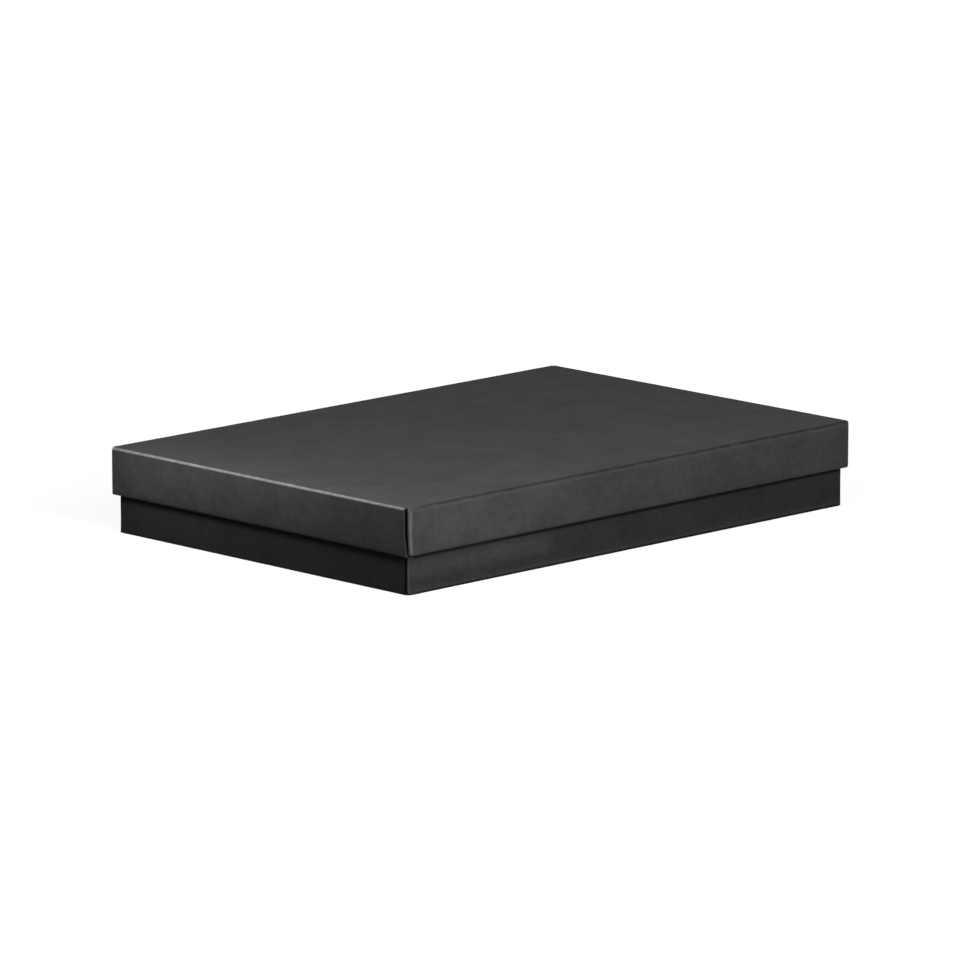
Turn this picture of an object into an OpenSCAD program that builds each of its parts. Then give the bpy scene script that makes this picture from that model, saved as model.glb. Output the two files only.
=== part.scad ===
// Flat two-piece gift box: a lift-off lid over a base, each folded from one die-cut sheet of solid board.
// Both are double-walled trays. The long walls turn over at the rim, and each ends in two corner flaps.
// The end walls then fold up outside those flaps and roll over them, which holds the corners.
// Millimetres. Origin: centre of the closed box's underside. +X runs along the length, -Y is the front.

/* [Box] */
// Outside length of the base, along X
base_length = 294; // [120:1:450]
// Outside width of the base, along Y
base_width = 200; // [110:0.5:330]
// Outside height of the base, underside to rim
base_height = 41.3; // [24:0.1:120]
// Outside depth of the lid, top face to rim
lid_depth = 23.2; // [15:0.1:41]
// Play between the base and the lid, on each side
lid_clearance = 0.75; // [0.3:0.05:2]

/* [Card] */
// Thickness of the board
card_t = 0.6; // [0.4:0.05:0.9]
// Air between two leaves of board that lie on each other
leaf_gap = 0.2; // [0.1:0.05:0.4]
// Distance between a cut edge and the board that it meets
cut_gap = 0.3; // [0.2:0.05:0.6]

/* [Folds] */
// Inside radius of the creases round the main panel
crease_inner_r = 0.6; // [0.4:0.1:1]
// Inside radius of the upright fold between a long wall and its corner flap
corner_inner_r = 1.4; // [1.2:0.1:2.5]
// How far the main panel's crease follows the upright fold round a corner, in degrees
crease_wrap = 55; // [20:5:60]
// How much lower the long walls' rim lies than the end walls' rim
long_rim_drop = 0.2; // [0.1:0.1:0.6]

/* [Corner flaps] */
// Length of a corner flap along the end wall
flap_length = 38; // [15:1:50]
// How much each long edge of a flap tapers towards its tip
flap_taper = 1.5; // [0:0.5:3]
// Corners cut off the tip of a flap
flap_chamfer = 3.5; // [1:0.5:4]

/* [End wall edges] */
// How far an end wall's cut edge stays behind the long wall's face
edge_setback = 1.8; // [1.2:0.1:2]

/* [Colour] */
// Board, dyed through
card_colour = "#3a3a3a"; // [#3a3a3a:Black, #8c6f4e:Natural kraft, #e9e6df:White]

/* [Hidden] */
$fn = 48;

// Outer radii of the folds
crease_r = card_t + crease_inner_r;
corner_r = card_t + corner_inner_r;
long_rim_r = card_t + leaf_gap / 2;
end_rim_r = card_t + leaf_gap;

// Thickness of the finished walls: two leaves on the long sides, two and a flap on the ends
long_stack = 2 * card_t + leaf_gap;
end_stack = 3 * card_t + 2 * leaf_gap;

// From a tray's end face to the axis of its upright folds, where the long walls stop being flat
fold_inset = card_t + leaf_gap + corner_r;
// From a tray's side face to the cut edge of its end walls' inner leaves
inner_setback = long_stack + 2 * leaf_gap;
// Foot of the inner leaves and of the flaps above the panel's outer face
leaf_foot = card_t + cut_gap;
flap_foot = crease_r + cut_gap;

// The lid's panel lies on the base's rim
closed_height = base_height + card_t;
// Outside sizes of the two trays: length, width and height from panel to rim
base_size = [base_length, base_width, base_height];
lid_size = [
    base_length + 2 * (end_stack + lid_clearance),
    base_width + 2 * (long_stack + lid_clearance),
    lid_depth
];

// Sides of a tray
left = -1;
right = 1;
front = -1;
back = 1;

// ---------- helpers ----------

// Everything below is drawn at the front left and mirrored to the side that is asked for
module at_side(x_side, y_side) {
    mirror([x_side > 0 ? 1 : 0, 0, 0])
        mirror([0, y_side > 0 ? 1 : 0, 0])
            children();
}

// Sweeps a wall section, drawn as (distance from the outer face, height), along the front wall
module along_front(size, length) {
    translate([-length / 2, -size.y / 2, 0])
        rotate([90, 0, 90])
            linear_extrude(length)
                children();
}

// Sweeps a wall section along the left end wall
module along_left(size, length) {
    translate([-size.x / 2, length / 2, 0])
        rotate([90, 0, 0])
            linear_extrude(length)
                children();
}

// Stands an outline, drawn as (Y, Z), against the left end as a leaf of board
module left_leaf(size, inset) {
    translate([-size.x / 2 + inset, 0, 0])
        rotate([90, 0, 90])
            linear_extrude(card_t)
                children();
}

// Section of a quarter fold in the first quadrant
module quarter_fold(outer_r) {
    intersection() {
        difference() {
            circle(outer_r);
            circle(outer_r - card_t);
        }
        square(outer_r);
    }
}

// Section of the crease between the main panel and a wall
module crease_section() {
    translate([crease_r, crease_r])
        rotate(180)
            quarter_fold(crease_r);
}

// ---------- the parts of a tray, opening upwards ----------

// Top or bottom panel: a flat leaf that is relieved round the upright folds
module main_panel(size) {
    color(card_colour)
        linear_extrude(card_t)
            difference() {
                square([size.x - 2 * crease_r, size.y - 2 * crease_r], center = true);
                for (x_side = [left, right], y_side = [front, back])
                    at_side(x_side, y_side)
                        translate([-size.x / 2 + fold_inset, -size.y / 2 + corner_r])
                            difference() {
                                translate([-corner_r, -corner_r])
                                    square(corner_r);
                                circle(corner_r - crease_r);
                            }
            }
}

// Outer leaf of a long wall, with its crease and the fold that turns it over at the rim
module long_wall(size, y_side) {
    rim_z = size.z - long_rim_drop - long_rim_r;
    color(card_colour)
        at_side(left, y_side)
            along_front(size, size.x - 2 * fold_inset) {
                crease_section();
                translate([0, crease_r])
                    square([card_t, rim_z - crease_r]);
                translate([long_rim_r, rim_z]) {
                    quarter_fold(long_rim_r);
                    mirror([1, 0])
                        quarter_fold(long_rim_r);
                }
            }
}

// Inner leaf of a long wall, hanging from the rim fold to just above the panel
module long_inner_wall(size, y_side) {
    rim_z = size.z - long_rim_drop - long_rim_r;
    color(card_colour)
        at_side(left, y_side)
            along_front(size, size.x - 2 * fold_inset)
                translate([long_stack - card_t, leaf_foot])
                    square([card_t, rim_z - leaf_foot]);
}

// Outer leaf of an end wall, with its crease and the flat-topped roll over the flaps
module end_wall(size, x_side) {
    rim_z = size.z - end_rim_r;
    color(card_colour)
        at_side(x_side, front) {
            along_left(size, size.y - 2 * corner_r)
                crease_section();
            along_left(size, size.y - 2 * edge_setback) {
                translate([0, crease_r])
                    square([card_t, rim_z - crease_r]);
                translate([end_rim_r, rim_z])
                    mirror([1, 0])
                        quarter_fold(end_rim_r);
                translate([end_rim_r, size.z - card_t])
                    square([end_stack - 2 * end_rim_r, card_t]);
                translate([end_stack - end_rim_r, rim_z])
                    quarter_fold(end_rim_r);
            }
        }
}

// Inner leaf of an end wall, hanging inside the flaps
module end_inner_wall(size, x_side) {
    color(card_colour)
        at_side(x_side, front)
            along_left(size, size.y - 2 * inner_setback)
                translate([end_stack - card_t, leaf_foot])
                    square([card_t, size.z - end_rim_r - leaf_foot]);
}

// Corner flap: the long wall's upright fold, the end of the panel's crease, and the flap inside the end wall
module corner_flap(size, x_side, y_side) {
    fold_top = size.z - long_rim_drop - long_rim_r;
    flap_top = size.z - card_t - cut_gap;
    color(card_colour)
        at_side(x_side, y_side) {
            translate([-size.x / 2 + fold_inset, -size.y / 2 + corner_r, 0]) {
                rotate([0, 0, 180])
                    rotate_extrude(angle = 90)
                        translate([corner_inner_r, crease_r])
                            square([card_t, fold_top - crease_r]);
                rotate([0, 0, 270 - crease_wrap])
                    rotate_extrude(angle = crease_wrap)
                        translate([corner_r - crease_r, crease_r])
                            mirror([0, 1])
                                quarter_fold(crease_r);
            }
            left_leaf(size, card_t + leaf_gap)
                translate([-size.y / 2 + corner_r, 0])
                    polygon([
                        [0, flap_foot],
                        [flap_length - flap_chamfer, flap_foot + flap_taper],
                        [flap_length, flap_foot + flap_taper + flap_chamfer],
                        [flap_length, flap_top - flap_taper - flap_chamfer],
                        [flap_length - flap_chamfer, flap_top - flap_taper],
                        [0, flap_top]
                    ]);
        }
}

// ---------- the box ----------

// The lid is a tray turned over on top of the base
module in_lid() {
    translate([0, 0, closed_height])
        mirror([0, 0, 1])
            children();
}

in_lid() main_panel(lid_size);  // lid_top_panel
in_lid() long_wall(lid_size, front);  // lid_front_wall
in_lid() long_wall(lid_size, back);  // lid_back_wall
in_lid() end_wall(lid_size, left);  // lid_left_wall
in_lid() end_wall(lid_size, right);  // lid_right_wall
in_lid() long_inner_wall(lid_size, front);  // lid_front_inner_wall
in_lid() long_inner_wall(lid_size, back);  // lid_back_inner_wall
in_lid() end_inner_wall(lid_size, left);  // lid_left_inner_wall
in_lid() end_inner_wall(lid_size, right);  // lid_right_inner_wall
in_lid() corner_flap(lid_size, left, front);  // lid_front_left_flap
in_lid() corner_flap(lid_size, right, front);  // lid_front_right_flap
in_lid() corner_flap(lid_size, left, back);  // lid_back_left_flap
in_lid() corner_flap(lid_size, right, back);  // lid_back_right_flap

main_panel(base_size);  // base_bottom_panel
long_wall(base_size, front);  // base_front_wall
long_wall(base_size, back);  // base_back_wall
end_wall(base_size, left);  // base_left_wall
end_wall(base_size, right);  // base_right_wall
long_inner_wall(base_size, front);  // base_front_inner_wall
long_inner_wall(base_size, back);  // base_back_inner_wall
end_inner_wall(base_size, left);  // base_left_inner_wall
end_inner_wall(base_size, right);  // base_right_inner_wall
corner_flap(base_size, left, front);  // base_front_left_flap
corner_flap(base_size, right, front);  // base_front_right_flap
corner_flap(base_size, left, back);  // base_back_left_flap
corner_flap(base_size, right, back);  // base_back_right_flap
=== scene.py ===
"""Looks of a flat two-piece gift box: a lift-off lid over a base, each folded from one sheet of dyed board.

Lengths are in millimetres until a mesh is written, which is in metres. A tray is drawn as it opens upwards,
with its panel at height 0, and is turned over for the lid.
"""

import logging  # noqa: E402
import math  # noqa: E402
import random  # noqa: E402
from dataclasses import dataclass, field  # noqa: E402
from enum import Enum  # noqa: E402

import bmesh  # noqa: E402
import bpy  # noqa: E402
import numpy as np  # noqa: E402
from mathutils import Matrix, Vector  # noqa: E402


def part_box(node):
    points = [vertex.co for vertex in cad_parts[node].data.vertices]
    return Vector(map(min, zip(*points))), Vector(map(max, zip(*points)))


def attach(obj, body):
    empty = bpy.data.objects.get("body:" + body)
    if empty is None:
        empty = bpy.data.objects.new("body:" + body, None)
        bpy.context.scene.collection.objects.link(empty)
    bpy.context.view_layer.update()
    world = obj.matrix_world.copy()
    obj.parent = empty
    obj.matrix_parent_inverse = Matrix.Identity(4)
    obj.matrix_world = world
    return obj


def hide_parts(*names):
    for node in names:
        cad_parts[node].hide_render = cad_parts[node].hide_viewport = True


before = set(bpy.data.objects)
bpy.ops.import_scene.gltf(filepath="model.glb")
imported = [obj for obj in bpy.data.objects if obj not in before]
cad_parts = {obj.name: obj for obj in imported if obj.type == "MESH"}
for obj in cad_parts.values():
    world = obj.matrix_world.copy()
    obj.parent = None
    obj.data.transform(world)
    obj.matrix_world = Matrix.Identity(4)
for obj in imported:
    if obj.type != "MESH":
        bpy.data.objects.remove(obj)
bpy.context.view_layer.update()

log = logging.getLogger("gift_box")

MM = 0.001
Numbers = np.ndarray


class Side(Enum):
    """A side of a tray: the name of its wall, and where it lies along X or Y."""

    FRONT = ("front", -1)
    BACK = ("back", 1)
    LEFT = ("left", -1)
    RIGHT = ("right", 1)

    @property
    def label(self) -> str:
        """The word for this side in a node's name."""
        return self.value[0]

    @property
    def sign(self) -> int:
        """Minus one for the front and the left, plus one for the back and the right."""
        return self.value[1]

    @property
    def is_end(self) -> bool:
        """True for the left and the right."""
        return self in (Side.LEFT, Side.RIGHT)


class Face(Enum):
    """The two surfaces of a leaf of board, by material slot."""

    LINER = 0
    CUT = 1


# ---------- numbers ----------


def linear(code: str) -> tuple[float, float, float, float]:
    """Turns an sRGB hex colour into the linear colour that a shader takes.

    Args:
        code: Six hex digits after a hash, such as "#48484a".

    Returns:
        Red, green, blue and an alpha of 1.
    """
    parts = [int(code[i : i + 2], 16) / 255 for i in (1, 3, 5)]
    red, green, blue = (c / 12.92 if c <= 0.04045 else ((c + 0.055) / 1.055) ** 2.4 for c in parts)
    return red, green, blue, 1.0


def ease(x: Numbers | float, start: float, end: float) -> Numbers | float:
    """Rises smoothly from 0 at start to 1 at end, and holds those values outside.

    Args:
        x: Any number or numbers.
        start: Where the rise begins.
        end: Where it ends.

    Returns:
        Numbers from 0 to 1, in the shape of x.
    """
    t = np.clip((x - start) / (end - start), 0, 1)
    return t * t * (3 - 2 * t)


def fullness(share: float) -> float:
    """How much a point this share of the way round a fold belongs to it: 0 at the fold's ends, 1 halfway."""
    return math.sin(math.pi * share) ** 0.5 if 0 < share < 1 else 0.0


@dataclass(frozen=True)
class Ripple:
    """A gentle wave with no repeat that shows, from -1 to 1, the same on every run.

    Attributes:
        seed: Picks the wave.
        shortest: Shortest wavelength, in millimetres.
        longest: Longest wavelength, in millimetres.
        terms: How many plain waves it is made of.
    """

    seed: int
    shortest: float
    longest: float
    terms: int

    def __call__(self, *axes: Numbers | float) -> Numbers:
        """Reads the wave.

        Args:
            *axes: Places along one axis, or along several of the same shape.

        Returns:
            The wave's height at each place.
        """
        dice = random.Random(self.seed)
        total = np.zeros(np.broadcast(*axes).shape)
        for _ in range(self.terms):
            heading = [dice.gauss(0, 1) for _ in axes]
            length = math.sqrt(sum(h * h for h in heading)) or 1.0
            wave = 2 * math.pi / dice.uniform(self.shortest, self.longest)
            phase = dice.uniform(0, 2 * math.pi)
            total = total + np.sin(sum(a * h / length for a, h in zip(axes, heading)) * wave + phase)
        return total / self.terms**0.5 / 1.6


# ---------- board ----------


@dataclass(frozen=True)
class CreaseShadeLine:
    """A dark line painted along a wall beside its crease as painted shade, with a paler lip above it as a
    painted highlight.

    Attributes:
        at: Its distance from the section's start, over the sheet.
        wander: How far it wanders.
        blur: Softness of its edges towards the panel and towards the rim.
        strength: Its usual darkness, from 0 to 1.
        least: Its darkness where it is palest.
        patches: How much a slow and a quick ripple change its darkness.
        fades: How much of it is gone at the wall's first end.
        fades_over: Distances from that end where it is gone and where it is whole.
        lip: Distance from the line to its lip, the lip's softness, and how much paler the lip is painted, a
            painted highlight.
    """

    at: float = 1.45
    wander: float = 0.12
    blur: tuple[float, float] = (0.8, 0.55)
    strength: float = 0.88
    least: float = 0.55
    patches: tuple[float, float] = (0.14, 0.12)
    fades: float = 0.85
    fades_over: tuple[float, float] = (1.0, 9.0)
    lip: tuple[float, float, float] = (1.3, 0.5, 0.09)

    def marks(
        self, across: Numbers, slow: Numbers, quick: Numbers, from_end: Numbers
    ) -> tuple[Numbers, Numbers]:
        """Draws the painted shade line and its paler lip.

        Args:
            across: Distance from the section's start, over the sheet.
            slow: Slow ripple along the wall.
            quick: Quick ripple along the wall.
            from_end: Distance from the wall's first end.

        Returns:
            How dark the line is and how pale the lip, from 0 to 1.
        """
        off = across - self.at - self.wander * slow
        patchy = np.clip(self.strength + self.patches[0] * slow + self.patches[1] * quick, self.least, 1.0)
        line = np.exp(-((off / np.where(off < 0, *self.blur)) ** 2)) * patchy
        gone, whole = self.fades_over
        line = line * (1 - self.fades * ease(-from_end, -whole, -gone))
        lip_at, softness, wear = self.lip
        return np.clip(line, 0, 1), wear * np.exp(-(((off - lip_at) / softness) ** 2))


@dataclass(frozen=True)
class Board:
    """The board and how it is creased and cut, in millimetres.

    Attributes:
        thickness: Thickness of the board.
        leaf_gap: Air between two leaves that lie on each other.
        cut_gap: Distance between a cut edge and the board that it meets.
        crease_r: Outer radius of the creases round the main panel.
        corner_r: Outer radius of the upright folds, where they are at their roundest.
        crease_wrap: How far the main panel's crease follows an upright fold, in degrees.
        long_rim_drop: How much lower the long walls' rim lies than the end walls' rim.
        edge_setback: How far an end wall's cut edge stays behind the long wall's face.
        flap_length: Length of a corner flap along the end wall.
        flap_taper: How much each long edge of a flap tapers.
        flap_chamfer: Corners cut off the tip of a flap.
        apron: How much of the flat panel is drawn with a wall, so that the score line is whole.
        score_at: Distance from a crease to the score line that the creasing rule leaves in the panel.
        score_width: Width of that line.
        score_depth: Depth of that line.
        score_waver: Share by which its depth varies.
        score_end: Share of its depth where the crease begins.
        fold_press: How far a fold is pressed in at its middle.
        fold_waves: Height of the slow and the quick waves along a fold.
        line: The painted shade line beside a crease, with its painted highlight lip.
    """

    thickness: float = 0.6
    leaf_gap: float = 0.2
    cut_gap: float = 0.3
    crease_r: float = 1.2
    corner_r: float = 2.0
    crease_wrap: float = 55.0
    long_rim_drop: float = 0.2
    edge_setback: float = 1.8
    flap_length: float = 38.0
    flap_taper: float = 1.5
    flap_chamfer: float = 3.5
    apron: float = 0.8
    score_at: float = 0.25
    score_width: float = 0.3
    score_depth: float = 0.16
    score_waver: float = 0.45
    score_end: float = 0.3
    fold_press: float = 0.045
    fold_waves: tuple[float, float] = (0.035, 0.02)
    line: CreaseShadeLine = CreaseShadeLine()

    @property
    def long_rim_r(self) -> float:
        """Outer radius of the fold that turns a long wall over."""
        return self.thickness + self.leaf_gap / 2

    @property
    def end_rim_r(self) -> float:
        """Outer radius of the two folds that turn an end wall over."""
        return self.thickness + self.leaf_gap

    @property
    def long_stack(self) -> float:
        """Thickness of a finished long wall."""
        return 2 * self.thickness + self.leaf_gap

    @property
    def end_stack(self) -> float:
        """Thickness of a finished end wall, with the flap in it."""
        return 3 * self.thickness + 2 * self.leaf_gap

    @property
    def inner_setback(self) -> float:
        """From the side face to the cut edge of an end wall's inner leaf."""
        return self.long_stack + 2 * self.leaf_gap


@dataclass
class Section:
    """The middle line of a bent leaf, drawn across a wall.

    Attributes:
        shade: How dark the painted shade line beside its crease is.
        rub_and_shade: Heights of the rise and the fall of the band of painted shadow under the lid's rim, or
            none.
        rows: For each point its distance from the outer face and its height, the direction towards the leaf's
            outer face, how much it belongs to a fold, how far that has paled, and how deep the score line is.
    """

    shade: float = 0.0
    rub_and_shade: tuple[float, ...] = ()
    rows: list[tuple[float, ...]] = field(default_factory=list)

    def add(
        self,
        at: tuple[float, float],
        normal: tuple[float, float],
        fold: float = 0.0,
        wear: float = 0.0,
        score: float = 0.0,
    ) -> None:
        """Adds one point to the middle line."""
        self.rows.append((*at, *normal, fold, fold * wear, score))

    def arc(
        self,
        centre: tuple[float, float],
        radius: float,
        start: float,
        end: float,
        steps: int,
        wear: float = 0.08,
    ) -> None:
        """Adds a fold, from start to end in degrees, without its first point.

        Args:
            centre: Axis of the fold.
            radius: Radius of the middle line.
            start: Angle of the first point, which is already there.
            end: Angle of the last point.
            steps: Points to add.
            wear: How far the fold is painted paler, partly as real wearing and partly as a painted highlight.
        """
        for i in range(1, steps + 1):
            turn = math.radians(start + (end - start) * i / steps)
            out = (math.cos(turn), math.sin(turn))
            at = (centre[0] + radius * out[0], centre[1] + radius * out[1])
            self.add(at, out, fullness(i / steps), wear)

    def line(self, end: tuple[float, float], steps: int) -> None:
        """Adds a flat stretch with the normal of the last point.

        Args:
            end: Where it ends.
            steps: Points to add.
        """
        depth, height, out, up = self.rows[-1][:4]
        for i in range(1, steps + 1):
            t = i / steps
            self.add((depth + (end[0] - depth) * t, height + (end[1] - height) * t), (out, up))


@dataclass
class Leaf:
    """One shell of board, as a grid of points on its middle surface.

    Attributes:
        points: Grid of points, rows by columns by three.
        normals: Unit vectors towards the outer face.
        wear: How far a fold is painted paler at each point, partly as real wearing and partly as a painted
            highlight.
        shade: How much painted shade each point has: beside a crease, in a corner slit or under the lid's
            rim.
        cells: Which cells of the grid are board, or None for all.
    """

    points: Numbers
    normals: Numbers
    wear: Numbers
    shade: Numbers
    cells: Numbers | None = None


# ---------- a folded tray ----------

# Steps round a crease or an upright fold, and over the panel's apron and its flat corner beside it.
BEND_STEPS, APRON_STEPS, CORNER_STEPS = 12, 8, 3
# Points in a wall's section before its outer leaf starts.
CREASE_POINTS = APRON_STEPS + 1 + BEND_STEPS
# Steps round a rim, up a leaf's foot with the crease's marks, up the rest of it, and down an inner leaf.
RIM_STEPS, FOOT_STEPS, LEAF_STEPS, INNER_STEPS = 12, 5, 12, 6
# Height of that foot above the crease, how far below its rim fold a wall's inner leaf is parted from it, and
# how far above the outer leaf's end a point belongs to the rim fold.
FOOT, TURN_IN, RIM_STARTS = 1.8, 1.0, 0.01
# Points along and across a main panel.
PANEL_GRID = (61, 43)
# Distances along a corner flap where its shape is drawn, before its cut tip, and steps up it.
FLAP_STOPS = (0.4, 1.2, 2.4, 4, 6, 8, 12, 16, 20, 25, 30)
FLAP_STEPS = 12
# Width of the long wall's flat that is drawn with a corner flap, and its steps.
STRIP, STRIP_STEPS = 0.6, 2
# The upright fold's axis is left open by this much.
PINHOLE = 0.02
# Stretch of a flap over which it comes back from the stand-off to the end wall.
COMES_BACK = (1.0, 10.0)
# From this stand-off on, a corner is open enough for the crease to go all the way round it.
CLEAR_STAND_OFF = 0.5
# How much an end wall's inner leaf is cut short for each millimetre of stand-off, how far it gives way, and
# over what distance.
CUT_SHORT, GIVES_WAY, GIVES_WAY_OVER = 5.4, 0.35, 8.0
# Shares of the height where the front left cut edge starts and ends its lean, the share of the lean that the
# upright fold follows, and how far that goes along the flap.
LEAN_FROM, LEAN_TO, FOLLOWS, FOLLOWS_OVER = 0.45, 0.95, 0.5, 2.5
# How the upright folds are pressed in, sway, pale where they sway out, and shift that sway round the fold.
FOLD_PRESS, FOLD_SWAY, SWAY_PALING, TWIST = 0.07, 0.075, 0.35, 3.0
# How far a flat corner beside an upright fold is painted paler, and how far its crease is painted dark,
# painted shade at the top of the corner slit.
CORNER_MARK = 0.25
# Heights on the base's long and end walls of a band of painted shadow under the closed lid's rim: its rise
# and its fall, reaching further down the end walls. And how dark that painted shadow is.
LID_SHADOW = (17.1, 17.4, 18.3, 18.7)
END_LID_SHADOW = (14.6, 17.4, 18.3, 18.7)
LID_SHADOW_DARKNESS = 0.85
# Share of the height where walls stand straight, with the shoulder below it and the belly above, and the
# share of the long walls' bow that the end walls have.
WAIST, END_BOW = 0.4, 0.6
# Distances from a wall's face where the panel starts to go with the wall and goes with it fully.
PANEL_FREE, PANEL_HELD = 16.0, 3.2
# Heights at which a point belongs to the panel and no longer does.
PANEL_ZONE = (1.0, 4.0)
# How far the panel's rumples lift it.
RUMPLE = 0.10
# Share of an outer skin's marks that the inner skin shows, and the most that any mark may be.
INNER_MARKS, MOST_MARKED = 0.35, 1.2
# Each neighbour of a grid cell, and the two corners of the cell's ring between which their border runs.
BORDERS = (((-1, 0), (0, 1)), ((0, 1), (1, 2)), ((1, 0), (2, 3)), ((0, -1), (3, 0)))


def swept(
    section: Section, limits: list[tuple[float, float]], columns: int, side: Side, tray: "Tray"
) -> Leaf:
    """Sweeps a section along one side of a tray, with its presses and marks.

    Args:
        section: Section of the wall.
        limits: Where each point of the section starts and ends along the side.
        columns: Number of cells along the side.
        side: The side of the tray.
        tray: The tray.

    Returns:
        The swept leaf, in the tray's own coordinates.
    """
    board, sign = tray.board, side.sign
    low, high = (np.array(ends)[:, None] for ends in zip(*limits))
    along = low + (high - low) * np.linspace(0, 1, columns + 1)[None, :]
    depth, height, out, up, folds, paled, scores = np.array(section.rows).T[..., None] + 0 * along
    key = sign + (3 if side.is_end else 0)
    slow = Ripple(tray.seed + 11 + key, 5, 26, 9)(along)
    quick = Ripple(tray.seed + 31 + key, 2.5, 7, 9)(along)
    steps = np.hypot(np.diff(depth, axis=0, prepend=depth[:1]), np.diff(height, axis=0, prepend=height[:1]))
    line, lip = board.line.marks(np.cumsum(steps, axis=0), slow, quick, along - low.min())
    waves = board.fold_waves[0] * slow + board.fold_waves[1] * quick
    press = -scores * board.score_depth * (1 + board.score_waver * slow)
    press = press + folds * waves - board.fold_press * folds
    depth, height = depth + out * press, height + up * press
    # Painted shade: the dark line beside the crease, whose lip is painted paler as a painted highlight.
    dark = line * section.shade
    # On the base, a band of painted shadow stands in for the shadow under the lid's rim.
    if section.rub_and_shade:
        dark = np.maximum(dark, LID_SHADOW_DARKNESS * np.interp(height, section.rub_and_shade, (0, 1, 1, 0)))
    face = sign * ((tray.length if side.is_end else tray.width) / 2 - depth)
    points, normals = (along, face, height), (0 * along, -sign * out, up)
    if side.is_end:
        points, normals = (face, along, height), (-sign * out, 0 * along, up)
    # The lip beside the painted shade line is painted paler, a painted highlight.
    wear = paled + lip * (section.shade > 0)
    return Leaf(np.stack(points, axis=-1), np.stack(normals, axis=-1), wear, dark)


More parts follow.
